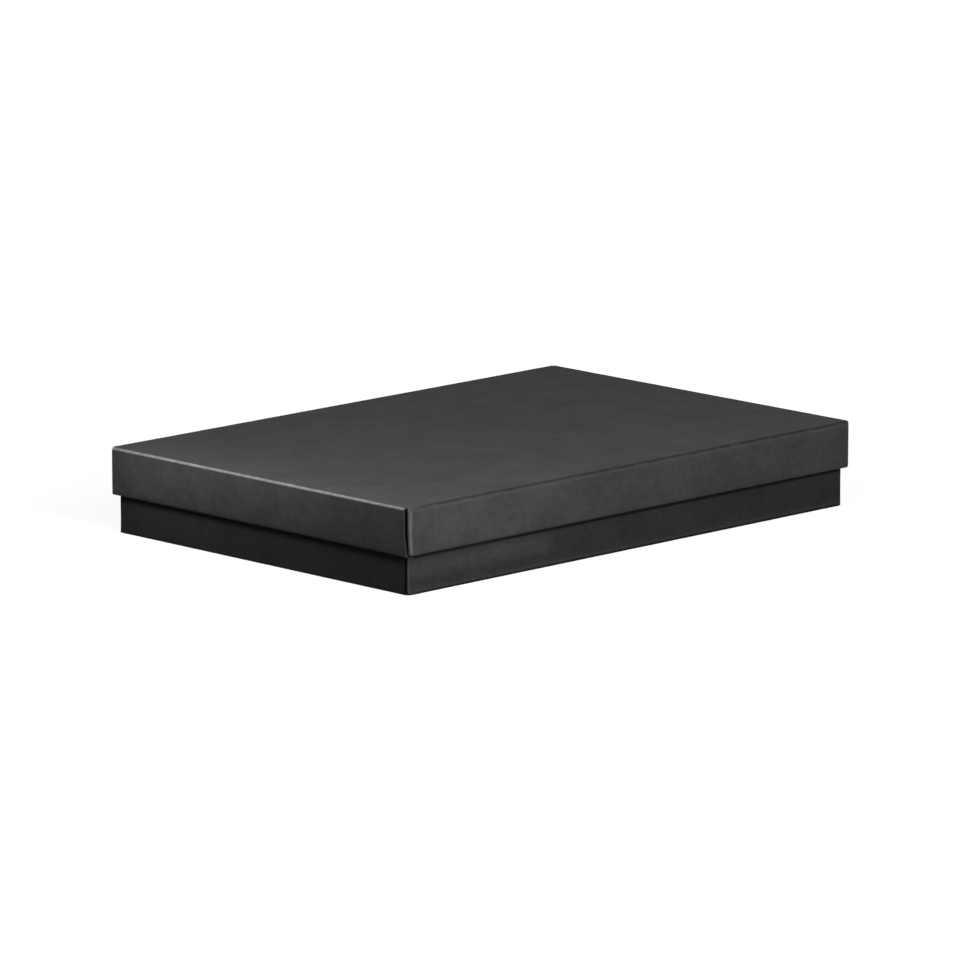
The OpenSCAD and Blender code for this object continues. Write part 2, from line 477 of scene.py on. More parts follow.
@dataclass
class Tray:
    """The lid or the base: thirteen leaves of one creased sheet of board.

    Attributes:
        name: First word of its nodes' names.
        board: The board and its creases.
        length: Outside length along X.
        width: Outside width along Y.
        height: From the panel's outer face to the rim.
        floor: Height of the panel's outer face in the row's frame.
        turned: True for the lid, which opens downwards.
        seed: Picks the tray's small irregularities.
        belly: How far the walls draw in towards the rim.
        shoulder: How far they draw in towards the panel.
        bow: How far the long walls' middle draws in at the rim.
        sag: How far the lid's middle hangs below its edges.
        fold_r: Outer radius of the upright folds.
        stand_off: How far those folds stand off the end wall's outer leaf, beyond the leaf gap.
        lean: How far the front left cut edge runs out towards the rim.
        fold_wear: How far the upright folds are painted paler, partly as real wearing and partly as a painted
            highlight.
        worn_at: Where round a fold it is painted palest, and that patch's spread, in degrees: 270 faces
            front.
        hidden_from: Where round a fold painted shade starts: the side that turns in behind the end wall is
            painted dark, for the shadow in the slit there.
        shaded_over: Degrees over which that sets in.
        tight: Share of the stand-off and of the folds' paling that the corners have, save the front left.
        pitch: Distance between columns of points along a wall.
        inner_pitch: The same for the long walls' inner leaves.
    """

    name: str
    board: Board
    length: float
    width: float
    height: float
    floor: float
    turned: bool
    seed: int
    belly: float
    shoulder: float
    bow: float
    sag: float
    fold_r: float
    stand_off: float = 0.0
    lean: float = 0.0
    fold_wear: float = 0.42
    worn_at: tuple[float, float] = (245.0, 30.0)
    hidden_from: float = 208.0
    shaded_over: float = 12.0
    tight: float = 0.2
    pitch: float = 3.0
    inner_pitch: float = 8.0

    @classmethod
    def from_frame(
        cls, name: str, board: Board, turned: bool, **settings: float | tuple[float, float]
    ) -> "Tray":
        """Measures a tray on its fixed nodes.

        Args:
            name: First word of its nodes' names.
            board: The board and its creases.
            turned: True for the lid.
            **settings: The fields that aren't measured.

        Returns:
            The tray.
        """
        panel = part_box("lid_top_panel" if turned else "base_bottom_panel")
        sides = ("left", "right", "front", "back")
        left, right, front, back = (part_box(f"{name}_{side}_wall") for side in sides)
        face = (panel[1].z if turned else panel[0].z) / MM
        rim = (left[0].z if turned else left[1].z) / MM
        length = (right[1].x - left[0].x) / MM
        width = (back[1].y - front[0].y) / MM
        return cls(name, board, length, width, abs(rim - face), face, turned, **settings)

    def slack(self, side: Side, end: Side) -> float:
        """Share of the stand-off and of the folds' paling that a corner has: all of it at the front left."""
        return 1.0 if (side, end) == (Side.FRONT, Side.LEFT) else self.tight

    def fold_axis(self, side: Side, end: Side) -> tuple[float, float]:
        """From the end face and from the side face to the axis of an upright fold."""
        inset = self.board.thickness + self.board.leaf_gap + self.stand_off * self.slack(side, end)
        return inset + self.fold_r, self.fold_r

    def inner_end(self, side: Side, end: Side) -> float:
        """From the side face to the cut edge of an end wall's inner leaf, clear of a flap that stands off."""
        return self.board.inner_setback + CUT_SHORT * self.stand_off * self.slack(side, end)

    def leant(self, z: float) -> float:
        """How far the front left cut edge leans out at a height."""
        return self.lean * ease(z / self.height, LEAN_FROM, LEAN_TO)

    # ----- sections -----

    def crease(self, wear: float, shade: float) -> Section:
        """Starts a section on the main panel's apron and takes it round the crease.

        Args:
            wear: How far the crease is painted paler, partly as real wearing and partly as a painted
                highlight.
            shade: How dark the painted shade line beside it is.

        Returns:
            The section, up to the foot of the outer leaf.
        """
        board = self.board
        half, r = board.thickness / 2, board.crease_r
        section = Section(shade)
        flat = [board.apron * (1 - i / APRON_STEPS) for i in range(APRON_STEPS + 1)]
        scores = [math.exp(-(((x - board.score_at) / board.score_width) ** 2) * 2) for x in flat]
        scores[0], scores[-1] = 0.0, board.score_end
        for x, score in zip(flat, scores):
            section.add((r + x, half), (0.0, -1.0), score=score)
        section.arc((r, r), r - half, 270, 180, BEND_STEPS, wear)
        return section

    def take_up(self, section: Section, rim: float, lid_shadow_band: tuple[float, ...]) -> None:
        """Takes a section up the outer leaf to its rim, with points wherever the leaf's colour changes.

        Args:
            section: Section that ends at the foot of the leaf.
            rim: Height of the leaf's end.
            lid_shadow_band: Rise and fall of the band of painted shadow under the lid's rim, which only the
                base has.
        """
        half = self.board.thickness / 2
        section.line((half, self.board.crease_r + FOOT), FOOT_STEPS)
        if not self.turned:
            section.rub_and_shade = lid_shadow_band
            section.line((half, lid_shadow_band[0]), FOOT_STEPS)
            for z in lid_shadow_band[1:]:
                section.line((half, z), 1)
        section.line((half, rim), LEAF_STEPS)

    def long_section(self) -> Section:
        """Draws a long wall: crease, outer leaf, and the fold that turns it over.

        Returns:
            Its section.
        """
        board = self.board
        half, rim_r = board.thickness / 2, board.long_rim_r
        rim = self.height - board.long_rim_drop - rim_r
        # The long creases carry the painted shade line beside them and are painted only slightly paler.
        section = self.crease(wear=0.02, shade=0.72)
        self.take_up(section, rim, LID_SHADOW)
        section.arc((rim_r, rim), rim_r - half, 180, 0, RIM_STEPS)
        section.line((2 * rim_r - half, rim - TURN_IN), 1)
        return section

    def end_section(self) -> Section:
        """Draws an end wall: crease, outer leaf, and the flat-topped roll over the flaps.

        Returns:
            Its section.
        """
        board = self.board
        half, rim_r, stack = board.thickness / 2, board.end_rim_r, board.end_stack
        rim = self.height - rim_r
        # The lid's end creases are painted far paler than its long creases, partly as real wearing and partly
        # as a painted highlight.
        section = self.crease(wear=1.0 if self.turned else 0.25, shade=0.0)
        self.take_up(section, rim, END_LID_SHADOW)
        section.arc((rim_r, rim), rim_r - half, 180, 90, RIM_STEPS // 2)
        section.line((stack - rim_r, self.height - half), 1)
        section.arc((stack - rim_r, rim), rim_r - half, 90, 0, RIM_STEPS // 2)
        section.line((stack - half, rim - TURN_IN), 1)
        return section

    def inner_section(self, depth: float, rim: float) -> Section:
        """Draws an inner leaf, from below its rim fold down to just above the panel.

        Args:
            depth: Distance of its middle from the wall's outer face.
            rim: Height at which the rim fold ends.

        Returns:
            Its section.
        """
        section = Section()
        section.add((depth, rim - TURN_IN), (1.0, 0.0))
        section.line((depth, self.board.thickness + self.board.cut_gap), INNER_STEPS)
        return section

    # ----- leaves, at rest and without the settling -----

    def main_panel(self) -> Leaf:
        """Lays the top of the lid or the bottom of the base, inside the walls' aprons.

        Returns:
            The leaf.
        """
        board = self.board
        x = np.linspace(-1, 1, PANEL_GRID[0]) * (self.length / 2 - board.crease_r - board.apron)
        y = np.linspace(-1, 1, PANEL_GRID[1]) * (self.width / 2 - board.crease_r - board.apron)
        gx, gy = np.meshgrid(x, y)
        points = np.stack([gx, gy, 0 * gx + board.thickness / 2], axis=-1)
        normals = np.zeros_like(points)
        normals[..., 2] = -1
        return Leaf(points, normals, 0 * gx, 0 * gx)

    def long_wall(self, side: Side) -> Leaf:
        """Folds the outer leaf of a long wall, which ends in the flat, just before the upright folds.

        Args:
            side: Front or back.

        Returns:
            The leaf.
        """
        section = self.long_section()
        left, right = (self.length / 2 - self.fold_axis(side, end)[0] for end in (Side.LEFT, Side.RIGHT))
        rim = self.height - self.board.long_rim_drop - self.board.long_rim_r
        limits = []
        for i, (_, z, facing_in, *_) in enumerate(section.rows):
            past_rim = i > CREASE_POINTS and (z > rim + RIM_STARTS or facing_in > 0)
            short = 0.0 if past_rim else STRIP
            out = FOLLOWS * self.leant(z) if side is Side.FRONT and i >= CREASE_POINTS else 0.0
            limits.append((out + short - left, right - short))
        return swept(section, limits, round((left + right) / self.pitch), side, self)

    def end_wall(self, side: Side) -> Leaf:
        """Folds the outer leaf of an end wall with its roll over the flaps.

        Args:
            side: Left or right.

        Returns:
            The leaf.
        """
        board = self.board
        section = self.end_section()
        crease_half = self.width / 2 - board.corner_r
        leaf_half = self.width / 2 - board.edge_setback
        limits = [(-crease_half, crease_half)] * CREASE_POINTS
        for depth, z, *_ in section.rows[CREASE_POINTS:]:
            out = self.leant(z) if side is Side.LEFT else 0.0
            out *= 1 - ease(depth, board.end_rim_r, board.end_stack - board.end_rim_r)
            limits.append((-leaf_half - out, leaf_half))
        leaf = swept(section, limits, round(2 * leaf_half / self.pitch), side, self)
        return self.parted(leaf, side, CREASE_POINTS)

    def parted(self, leaf: Leaf, side: Side, first: int = 0) -> Leaf:
        """Parts the leaves of an end wall near its ends, where the upright folds stand off inside it.

        Args:
            leaf: A leaf of the wall.
            side: Left or right.
            first: First row that may move.

        Returns:
            The leaf, moved.
        """
        board = self.board
        depth = self.length / 2 - side.sign * leaf.points[..., 0]
        away = self.width / 2 - np.abs(leaf.points[..., 1])
        share = np.clip((depth - board.thickness / 2) / (board.end_stack - board.thickness), 0, 1)
        share[:first] = 0
        front = leaf.points[..., 1] < 0
        clear = np.where(front, self.inner_end(Side.FRONT, side), self.inner_end(Side.BACK, side))
        slack = np.where(front, self.slack(Side.FRONT, side), self.slack(Side.BACK, side))
        near = 1 - ease(away - clear, 0, GIVES_WAY_OVER)
        leaf.points[..., 0] -= side.sign * GIVES_WAY * self.stand_off * slack * share * near
        return leaf

    def long_inner_wall(self, side: Side) -> Leaf:
        """Hangs the inner leaf of a long wall.

        Args:
            side: Front or back.

        Returns:
            The leaf.
        """
        board = self.board
        rim = self.height - board.long_rim_drop - board.long_rim_r
        section = self.inner_section(board.long_stack - board.thickness / 2, rim)
        left = self.fold_axis(side, Side.LEFT)[0] - self.length / 2
        right = self.length / 2 - self.fold_axis(side, Side.RIGHT)[0]
        limits = [(left, right)] * len(section.rows)
        return swept(section, limits, round((right - left) / self.inner_pitch), side, self)

    def end_inner_wall(self, side: Side) -> Leaf:
        """Hangs the inner leaf of an end wall.

        Args:
            side: Left or right.

        Returns:
            The leaf.
        """
        board = self.board
        section = self.inner_section(board.end_stack - board.thickness / 2, self.height - board.end_rim_r)
        front = self.inner_end(Side.FRONT, side) - self.width / 2
        back = self.width / 2 - self.inner_end(Side.BACK, side)
        limits = [(front, back)] * len(section.rows)
        return self.parted(swept(section, limits, round((back - front) / self.pitch), side, self), side)

    def corner_rows(self) -> list[tuple[float, float, float, float, float]]:
        """Goes across the sheet at an upright fold, out over the flat corner and round the crease.

        Returns:
            For each point, its reach from the fold's axis, height, outward and upward normal, and fullness.
        """
        half = self.board.thickness / 2
        flat, radius = self.fold_r - self.board.crease_r, self.board.crease_r - half
        reaches = [PINHOLE + (flat - PINHOLE) * i / CORNER_STEPS for i in range(CORNER_STEPS + 1)]
        rows = [(reach, half, 0.0, -1.0, 0.0) for reach in reaches]
        for i in range(1, BEND_STEPS + 1):
            turn = math.radians(-90 + 90 * i / BEND_STEPS)
            out, up = math.cos(turn), math.sin(turn)
            at = (flat + radius * out, self.board.crease_r + radius * up)
            rows.append((*at, out, up, fullness(i / BEND_STEPS)))
        return rows

    def flap_columns(self) -> list[tuple[float, float, float]]:
        """Goes along the sheet at a corner: a strip of the long wall, the upright fold, then the flap.

        Returns:
            For each column, its distance ahead of the fold, turn round it in degrees, and place on the flap.
        """
        tip = (self.board.flap_length - self.board.flap_chamfer, self.board.flap_length)
        strip = [(STRIP * (1 - i / STRIP_STEPS), 270.0, 0.0) for i in range(STRIP_STEPS)]
        bend = [(0.0, 270.0 - 90.0 * i / BEND_STEPS, 0.0) for i in range(BEND_STEPS + 1)]
        return strip + bend + [(0.0, 180.0, d) for d in (*FLAP_STOPS, *tip)]

    def flap_edges(self, d: float, clear: bool) -> tuple[float, float]:
        """Finds the foot and the top of the upright board at a corner.

        Args:
            d: Distance along the flap, with 0 for the upright fold.
            clear: True where the fold stands clear of the end wall, so that the flap's foot can start low.

        Returns:
            The two heights.
        """
        board = self.board
        if d == 0:
            return board.crease_r, self.height - board.long_rim_drop - board.long_rim_r
        straight = board.flap_length - board.flap_chamfer
        slope = board.flap_taper * min(d / straight, 1) + max(d - straight, 0)
        low = (board.crease_r - board.thickness) * (1 - ease(d, *COMES_BACK)) if clear else 0.0
        foot = board.crease_r + board.cut_gap + slope - low
        return foot, self.height - board.thickness - board.cut_gap - slope

    def flap(self, side: Side, end: Side) -> Leaf:
        """Folds a corner flap: the upright fold with its end of the crease, and the leaf in the end wall.

        Args:
            side: Front or back, the long wall that it hangs on.
            end: Left or right, the end wall that it lies in.

        Returns:
            The leaf.
        """
        slack = self.slack(side, end)
        clear = self.stand_off * slack > CLEAR_STAND_OFF
        follows = FOLLOWS if (side, end) == (Side.FRONT, Side.LEFT) else 0.0
        inset_x, inset_y = self.fold_axis(side, end)
        wave = Ripple(self.seed + 71 + 5 * side.sign + 2 * end.sign, 7, 22, 7)
        rows, columns = self.corner_rows(), self.flap_columns()
        grid, ways, wear, shade = [], [], [], []
        for ahead, turn, d in columns:
            way = (math.cos(math.radians(turn)), math.sin(math.radians(turn)))
            x = inset_x - self.length / 2 + ahead - self.stand_off * slack * ease(d, *COMES_BACK)
            y = inset_y - self.width / 2 + d
            aside = follows * math.exp(-((d / FOLLOWS_OVER) ** 2))
            foot, top = self.flap_edges(d, clear)
            amount = fullness((270 - turn) / 90)
            # Painted shade: the fold's side that turns in behind the end wall, and the flap, are painted dark
            # for the shadow in the slit, and are not painted paler there.
            slit_shade = 1.0 if d > 0 else ease(self.hidden_from - turn, 0, self.shaded_over)
            # The upright fold is painted paler round one place, partly as real wearing and partly as a
            # painted highlight.
            paled = self.fold_wear * slack * math.exp(-(((turn - self.worn_at[0]) / self.worn_at[1]) ** 2))
            paled *= (1 - ahead / STRIP) * (1 - slit_shade)
            for reach, z, out, up, crease_amount in rows:
                grid.append((x + reach * way[0], y + reach * way[1], z))
                ways.append((out * way[0], out * way[1], up))
                wear.append(CORNER_MARK * amount)
                shade.append(max(CORNER_MARK * crease_amount, slit_shade))
            for i in range(1, FLAP_STEPS + 1):
                z = foot + (top - foot) * i / FLAP_STEPS
                sway = amount * float(wave(z + TWIST * (270 - turn) / 90))
                reach = self.fold_r - self.board.thickness / 2 - FOLD_PRESS * amount + FOLD_SWAY * sway
                grid.append((x + reach * way[0] + aside * self.leant(z), y + reach * way[1], z))
                ways.append((*way, 0.0))
                wear.append(paled * (1 + SWAY_PALING * sway))
                shade.append(slit_shade)
            if d > 0:
                grid[-FLAP_STEPS - 1] = (*grid[-FLAP_STEPS][:2], foot)
        mirror = np.array((-end.sign, -side.sign, 1))
        size = (len(columns), -1, 3)
        points, normals = (np.array(v).reshape(size).transpose(1, 0, 2) * mirror for v in (grid, ways))
        wear, shade = (np.array(v).reshape(len(columns), -1).T for v in (wear, shade))
        # The crease follows part of the fold, or all of one that stands clear, but doesn't go on to the flap.
        cells = np.ones((points.shape[0] - 1, points.shape[1] - 1), dtype=bool)
        wrap = 90.0 if clear else self.board.crease_wrap
        cells[CORNER_STEPS : len(rows) - 1, STRIP_STEPS + round(BEND_STEPS * wrap / 90) :] = False
        cells[: len(rows) - 1, STRIP_STEPS + BEND_STEPS :] = False
        return Leaf(points, normals, wear, shade, cells)

    # ----- settling -----

    def settled(self, points: Numbers) -> Numbers:
        """Moves points as the board settles: pillowed walls, bowed sides and a lid that hangs a little.

        Args:
            points: Points in the tray's own coordinates.

        Returns:
            The moved points, which stay inside the tray's outside sizes.
        """
        x, y, z = points[..., 0], points[..., 1], points[..., 2]
        share = np.clip(z / self.height, 0, 1)
        draw = self.belly * np.clip((share - WAIST) / (1 - WAIST), 0, 1) ** 2
        draw = draw + self.shoulder * np.clip((WAIST - share) / WAIST, 0, 1) ** 2
        wide, deep = 2 * x / self.length, 2 * y / self.width
        bow_x, bow_y = (self.bow * share**2 * np.clip(1 - place**2, 0, 1) for place in (deep, wide))
        near_x, near_y = (
            ease(np.abs(place), size / 2 - PANEL_FREE, size / 2 - PANEL_HELD)
            for place, size in ((x, self.length), (y, self.width))
        )
        push_x = near_x * (draw * (1 - deep**8) + END_BOW * bow_x)
        push_y = near_y * (draw * (1 - wide**8) + bow_y)
        lift = 0 * z
        if self.turned:
            inside = np.clip(1 - wide**2, 0, 1) * np.clip(1 - deep**2, 0, 1)
            rumple = Ripple(self.seed + 5, 45, 120, 8)(x, y)
            lift = self.sag * inside + RUMPLE * (rumple + 1) * inside**0.5
            lift = lift * (1 - ease(z, *PANEL_ZONE))
        return np.stack([x - np.sign(x) * push_x, y - np.sign(y) * push_y, z + lift], axis=-1)

    def placed(self, points: Numbers) -> Numbers:
        """Takes settled points to the row's frame.

        Args:
            points: Points in the tray's own coordinates.

        Returns:
            The points in metres.
        """
        moved = points.copy()
        moved[..., 2] = self.floor + (-points[..., 2] if self.turned else points[..., 2])
        return moved * MM

    # ----- pieces -----

    def build(self, node: str, leaf: Leaf, finish: "DyedBoard") -> None:
        """Makes one panel's piece from its leaf and lets it stand for its node.

        Args:
            node: Name of the fixed node.
            leaf: The leaf.
            finish: The board's finish.
        """
        rows, columns = leaf.points.shape[:2]
        half = self.board.thickness / 2
        skins = [self.placed(self.settled(leaf.points + way * half * leaf.normals)) for way in (1, -1)]
        index = np.arange(2 * rows * columns).reshape(2, rows, columns).tolist()
        cells = leaf.cells if leaf.cells is not None else np.ones((rows - 1, columns - 1), dtype=bool)
        faces, slots = [], []
        for i, j in zip(*np.nonzero(cells)):
            ring = [(i, j), (i, j + 1), (i + 1, j + 1), (i + 1, j)]
            faces.append([index[0][a][b] for a, b in ring])
            faces.append([index[1][a][b] for a, b in reversed(ring)])
            slots.extend([Face.LINER.value] * 2)
            for (di, dj), (p, q) in BORDERS:
                if 0 <= i + di < rows - 1 and 0 <= j + dj < columns - 1 and cells[i + di, j + dj]:
                    continue
                (a, b), (c, d) = ring[p], ring[q]
                faces.append([index[0][c][d], index[0][a][b], index[1][a][b], index[1][c][d]])
                slots.append(Face.CUT.value)
        mesh = bpy.data.meshes.new(f"{node}_leaf")
        mesh.from_pydata([tuple(v) for skin in skins for v in skin.reshape(-1, 3)], [], faces)
        mesh.polygons.foreach_set("material_index", slots)
        for name, marks in (("wear", leaf.wear.reshape(-1)), ("shade", leaf.shade.reshape(-1))):
            values = np.clip(np.concatenate([marks, INNER_MARKS * marks]), 0, MOST_MARKED)
            layer = mesh.attributes.new(name, "FLOAT", "POINT")
            layer.data.foreach_set("value", values.astype(np.float32))
        keep_edges_crisp(mesh)
        piece = bpy.data.objects.new(f"{node}_board", mesh)
        bpy.context.scene.collection.objects.link(piece)
        mesh.materials.append(finish.liner)
        mesh.materials.append(finish.cut)
        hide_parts(node)
        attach(piece, self.name)
        log.info("%s: %d faces", piece.name, len(faces))

    def dress(self, finish: "DyedBoard") -> None:
        """Builds the thirteen pieces of the tray, panel first.

        Args:
            finish: The board's finish.
        """
        self.build("lid_top_panel" if self.turned else "base_bottom_panel", self.main_panel(), finish)
        for side in (Side.FRONT, Side.BACK):
            wall = f"{self.name}_{side.label}"
            self.build(f"{wall}_wall", self.long_wall(side), finish)
            self.build(f"{wall}_inner_wall", self.long_inner_wall(side), finish)
            for end in (Side.LEFT, Side.RIGHT):
                self.build(f"{wall}_{end.label}_flap", self.flap(side, end), finish)
        for end in (Side.LEFT, Side.RIGHT):
            self.build(f"{self.name}_{end.label}_wall", self.end_wall(end), finish)
            self.build(f"{self.name}_{end.label}_inner_wall", self.end_inner_wall(end), finish)


def keep_edges_crisp(mesh: bpy.types.Mesh) -> None:
    """Turns every shell's faces outwards, and shades the leaf smooth but its cut edges sharp.

    Args:
        mesh: A mesh of closed leaves.
    """
    work = bmesh.new()
    work.from_mesh(mesh)
    bmesh.ops.recalc_face_normals(work, faces=work.faces)
    for face in work.faces:
        face.smooth = True
    for edge in work.edges:
        kinds = {face.material_index for face in edge.link_faces}
        edge.smooth = len(kinds) == 1 and Face.CUT.value not in kinds
    work.to_mesh(mesh)
    work.free()


# ---------- finishes ----------


def fresh_tree(owner: bpy.types.Material | bpy.types.World) -> bpy.types.NodeTree:
    """Gives a material or a world nodes of its own.

    Args:
        owner: The material or world.

    Returns:
        Its empty node tree.
    """
    owner.use_nodes = True
    owner.node_tree.nodes.clear()
    return owner.node_tree


def add_node(
    tree: bpy.types.NodeTree,
    kind: str,
    settings: dict | None = None,
    links: dict | None = None,
    out: str | int = 0,
) -> bpy.types.NodeSocket | None:
    """Adds a node with its settings and what feeds it.

    Args:
        tree: The node tree.
        kind: The node's type without its first words, such as "Mix".
        settings: Attributes by name, or values of inputs by socket name or number.
        links: Outputs to link, by the name or number of the input that each feeds.
        out: Name or number of the output that is wanted.

    Returns:
        That output, or None where the node has no outputs.
    """
    node = tree.nodes.new(f"ShaderNode{kind}")
    for key, value in (settings or {}).items():
        if isinstance(key, str) and hasattr(node, key):
            setattr(node, key, value)
        else:
            node.inputs[key].default_value = value
    for key, source in (links or {}).items():
        tree.links.new(source, node.inputs[key])
    return node.outputs[out] if len(node.outputs) else None


def ramp(start: float, end: float, low: float = 0.0, high: float = 1.0) -> dict[str, float]:
    """Settings that map the values from start to end onto those from low to high."""
    return {"From Min": start, "From Max": end, "To Min": low, "To Max": high}


def per_metre(size_mm: float) -> float:
    """Scale of a pattern whose grains are size_mm across, for coordinates in metres."""
    return 1000.0 / size_mm


@dataclass(frozen=True)
class DyedBoard:
    """Solid board dyed through, calendered and left uncoated: matt, faintly clouded, with fine pale fibres.

    Attributes:
        name: Name of the board.
        colour: Colour of the liner.
        cloud: Colour of its very slightly warmer clouds.
        fibre: Colour of single pale fibres.
        worn: Colour of a fold painted paler, partly stretched fibres that scatter more light and partly a
            painted highlight.
        fleck_and_shade: Colour of dark flecks, and of painted shade: the line beside a long crease, the
            corner slits and the band under the lid's rim.
        core: Colour of a cut edge.
        roughness: Roughness of the flat liner.
        fold_roughness: Roughness of a fold, which the creasing tool has pressed smoother.
        gloss: Specular level of dry, open fibres.
        cloud_mm: Width of the clouds in the pulp.
        floc_mm: Width of the flocs that make the fine mottle.
        fleck_mm: Spacing of the dark flecks.
        scuff_mm: Width of the patches over which a fold's paling varies.
        fibre_mm: Width of a fibre, drawn coarser than the real 0.05 mm so that it shows.
        tooth_mm: Width of the surface's tooth, drawn coarser than the real 0.1 mm so that it shows.
        ply_mm: Thickness of the layers in a cut edge.
    """

    name: str
    colour: str = "#484848"
    cloud: str = "#484846"
    fibre: str = "#686867"
    worn: str = "#989896"
    fleck_and_shade: str = "#0e0e0e"
    core: str = "#41413f"
    roughness: float = 0.82
    fold_roughness: float = 0.65
    gloss: float = 0.05
    cloud_mm: float = 18.0
    floc_mm: float = 2.8
    fleck_mm: float = 1.1
    scuff_mm: float = 3.5
    fibre_mm: float = 0.5
    tooth_mm: float = 0.45
    ply_mm: float = 0.3

    @property
    def liner(self) -> bpy.types.Material:
        """The board's face."""
        return bpy.data.materials.get(f"{self.name}_calendered_liner") or self.make_liner()

    @property
    def cut(self) -> bpy.types.Material:
        """The board's die-cut edge."""
        return bpy.data.materials.get(f"{self.name}_die_cut_core") or self.make_core()

    def make_liner(self) -> bpy.types.Material:
        """Makes the face: clouds, flocs, flecks, pale fibres, tooth, paler smoother folds and painted shade.

        Returns:
            The material.
        """
        # Calendered board: pressed flat between rollers while damp, so it is matt and only faintly clouded.
        material = bpy.data.materials.new(f"{self.name}_calendered_liner")
        tree = fresh_tree(material)
        place = add_node(tree, "TexCoord", out="Object")
        clouds, flocs, grit, scuff, tooth = (
            add_node(
                tree,
                "TexNoise",
                {"Scale": per_metre(size), "Detail": detail, "Roughness": roughness},
                {"Vector": place},
            )
            for size, detail, roughness in (
                (self.cloud_mm, 3.0, 0.5),
                (self.floc_mm, 4.0, 0.62),
                (self.fleck_mm, 1.5, 0.5),
                (self.scuff_mm, 3.0, 0.5),
                (self.tooth_mm, 2.0, 0.5),
            )
        )
        tint = add_node(tree, "MapRange", ramp(0.42, 0.72, 0.0, 0.8), {"Value": clouds})
        pulp = {"data_type": "RGBA", 6: linear(self.colour), 7: linear(self.cloud)}
        paint = add_node(tree, "Mix", pulp, {"Factor": tint}, out=2)
        mottle = add_node(tree, "Math", {"operation": "ADD"}, {0: clouds, 1: flocs})
        level = add_node(tree, "MapRange", ramp(0.7, 1.3, 0.83, 1.16) | {"clamp": False}, {"Value": mottle})
        paint = add_node(tree, "VectorMath", {"operation": "SCALE"}, {0: paint, "Scale": level})
        fleck = add_node(tree, "MapRange", ramp(0.3, 0.24, 0.0, 0.55), {"Value": grit})
        # fold paints folds paler, partly as real wearing and partly as a painted highlight; crease carries
        # painted shade.
        fold, crease = (
            add_node(tree, "Attribute", {"attribute_name": name}, out="Fac") for name in ("wear", "shade")
        )
        rub_and_shade = add_node(tree, "MapRange", ramp(0.3, 0.7, 0.55, 1.0), {"Value": scuff})
        wear = add_node(tree, "Math", {"operation": "MULTIPLY", "use_clamp": True}, {0: fold, 1: rub_and_shade})
        fibres = self.fibre_mask(tree, place)
        # Coats: dark flecks, pale fibres, paler folds, then painted shade in the same dark colour as the
        # flecks.
        coats = ((fleck, self.fleck_and_shade), (fibres, self.fibre), (wear, self.worn), (crease, self.fleck_and_shade))
        for mask, colour in coats:
            coat = {"data_type": "RGBA", 7: linear(colour)}
            paint = add_node(tree, "Mix", coat, {"Factor": mask, 6: paint}, out=2)
        smoothing = ramp(0.0, 1.0, self.roughness, self.fold_roughness)
        roughness = add_node(tree, "MapRange", smoothing, {"Value": fold})
        relief = add_node(tree, "Math", {"operation": "MULTIPLY_ADD", 1: 0.8}, {0: flocs, 2: tooth})
        bump = add_node(tree, "Bump", {"Strength": 0.35, "Distance": 0.00006}, {"Height": relief})
        shader = add_node(
            tree,
            "BsdfPrincipled",
            {"IOR": 1.5, "Metallic": 0.0, "Specular IOR Level": self.gloss},
            {"Base Color": paint, "Roughness": roughness, "Normal": bump},
        )
        add_node(tree, "OutputMaterial", links={"Surface": shader})
        return material

    def fibre_mask(self, tree: bpy.types.NodeTree, place: bpy.types.NodeSocket) -> bpy.types.NodeSocket:
        """Draws sparse pale fibres about 3 mm long, in two directions.

        Args:
            tree: The node tree.
            place: Coordinates in metres.

        Returns:
            A mask from 0 to about 0.5.
        """
        masks = []
        for turn, stretch in ((0.5, (0.16, 1.0, 1.0)), (-0.9, (1.0, 0.16, 1.0))):
            lie = {"Rotation": (0.0, 0.0, turn), "Scale": stretch}
            laid = add_node(tree, "Mapping", lie, {"Vector": place})
            strand = {"Scale": per_metre(self.fibre_mm), "Detail": 1.0}
            strands = add_node(tree, "TexNoise", strand, {"Vector": laid})
            masks.append(add_node(tree, "MapRange", ramp(0.7, 0.82, 0.0, 0.55), {"Value": strands}))
        return add_node(tree, "Math", {"operation": "MAXIMUM"}, {0: masks[0], 1: masks[1]})

    def make_core(self) -> bpy.types.Material:
        """Makes the die-cut edge: the same pulp laid open, rougher, finely layered and darker in its pores.

        Returns:
            The material.
        """
        # Die-cut board: sheared by a steel rule, so its layers lie open and scatter light more than the face.
        material = bpy.data.materials.new(f"{self.name}_die_cut_core")
        tree = fresh_tree(material)
        place = add_node(tree, "TexCoord", out="Object")
        layers = {"Scale": per_metre(self.ply_mm), "Detail": 3.0}
        plies = add_node(tree, "TexNoise", layers, {"Vector": place})
        open_share = add_node(tree, "MapRange", ramp(0.3, 0.6, 0.6, 1.0), {"Value": plies})
        pulp = {"data_type": "RGBA", 6: linear(self.colour), 7: linear(self.core)}
        colour = add_node(tree, "Mix", pulp, {"Factor": open_share}, out=2)
        bump = add_node(tree, "Bump", {"Strength": 0.5, "Distance": 0.0001}, {"Height": plies})
        shader = add_node(
            tree,
            "BsdfPrincipled",
            {"IOR": 1.5, "Roughness": 0.9, "Specular IOR Level": self.gloss},
            {"Base Color": colour, "Normal": bump},
        )
        add_node(tree, "OutputMaterial", links={"Surface": shader})
        return material


# ---------- studio ----------


